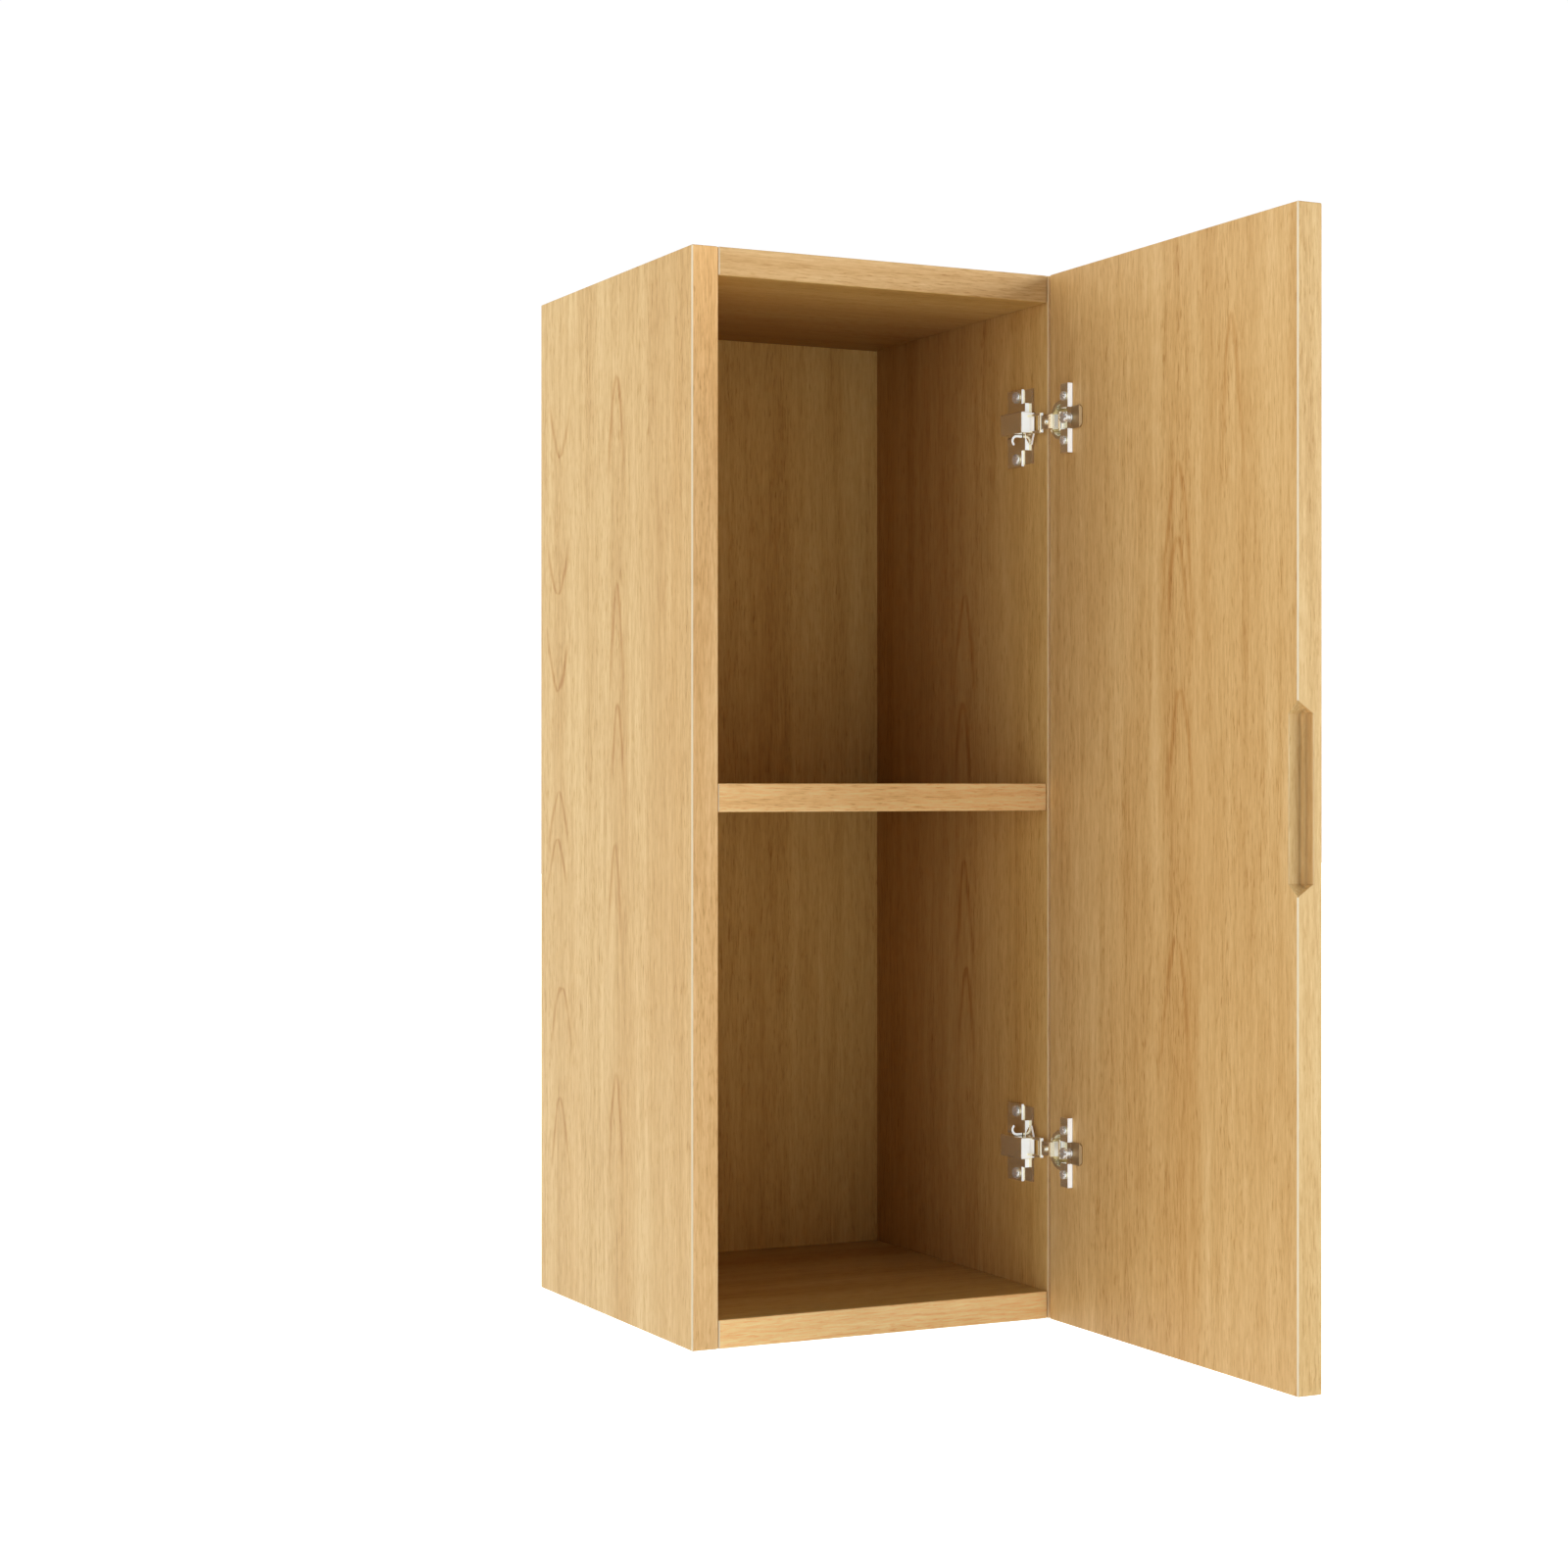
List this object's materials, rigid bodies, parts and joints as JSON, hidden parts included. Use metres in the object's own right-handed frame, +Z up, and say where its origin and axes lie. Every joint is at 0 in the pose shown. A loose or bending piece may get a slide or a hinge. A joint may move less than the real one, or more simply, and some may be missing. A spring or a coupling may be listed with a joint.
{
  "type": "hanging wall cabinet",
  "caption": "Narrow oak wall cabinet with a fixed mid shelf and a door on two concealed hinges, hung by rails behind its back panel; the door has a routed finger pull.",
  "frame": {"origin": "centre of the top hanging rail's rear face, which lies flat on the wall", "axes": "+X to the right seen from the front, +Y into the wall, +Z up; the front edges face -Y"},
  "size_m": [0.3048, 0.5911, 0.762],
  "materials": {
    "oak": "satin lacquered light oak, straight grain",
    "back": "satin oak faced board",
    "beech": "plain sawn, unfinished",
    "nickel": "bright nickel plated pressed steel",
    "steel": "zinc plated turned steel"
  },
  "bodies": {
    "cabinet": {"back_panel": "back", "bottom_hanging_rail": "beech", "bottom_panel": "oak", "dowel_left_bottom_front": "beech", "dowel_left_bottom_rear": "beech", "dowel_left_shelf_front": "beech", "dowel_left_shelf_rear": "beech", "dowel_left_top_front": "beech", "dowel_left_top_rear": "beech", "dowel_right_bottom_front": "beech", "dowel_right_bottom_rear": "beech", "dowel_right_shelf_front": "beech", "dowel_right_shelf_rear": "beech", "dowel_right_top_front": "beech", "dowel_right_top_rear": "beech", "left_side_panel": "oak", "lower_arm_pin": "steel", "lower_hinge_arm": "nickel", "lower_hinge_mounting_plate": "nickel", "lower_hinge_release_lever": "nickel", "lower_plate_screw_high": "steel", "lower_plate_screw_low": "steel", "right_side_panel": "oak", "shelf_panel": "oak", "top_hanging_rail": "beech", "top_panel": "oak", "upper_arm_pin": "steel", "upper_hinge_arm": "nickel", "upper_hinge_mounting_plate": "nickel", "upper_hinge_release_lever": "nickel", "upper_plate_screw_high": "steel", "upper_plate_screw_low": "steel"},
    "links": {"lower_hinge_link": "nickel", "upper_hinge_link": "nickel"},
    "door": {"door_panel": "oak", "lower_cup_pin": "steel", "lower_cup_screw_high": "steel", "lower_cup_screw_low": "steel", "lower_hinge_cam_screw": "steel", "lower_hinge_cup": "nickel", "upper_cup_pin": "steel", "upper_cup_screw_high": "steel", "upper_cup_screw_low": "steel", "upper_hinge_cam_screw": "steel", "upper_hinge_cup": "nickel"}
  },
  "joints": [
    {"name": "link_swing", "type": "hinge", "parent": "cabinet", "child": "links", "pos_m": [0.12781, -0.28361, -0.3257], "axis": [0, 0, 1], "range_deg": [-1.4, 30.2]},
    {"name": "door_swing", "type": "hinge", "parent": "links", "child": "door", "pos_m": [0.13595, -0.29775, -0.3257], "axis": [0, 0, 1], "range_deg": [-120.14, 5.34]}
  ],
  "couplings": [
    {"joint": "link_swing", "follows": "door_swing", "ratio": -0.25087}
  ]
}
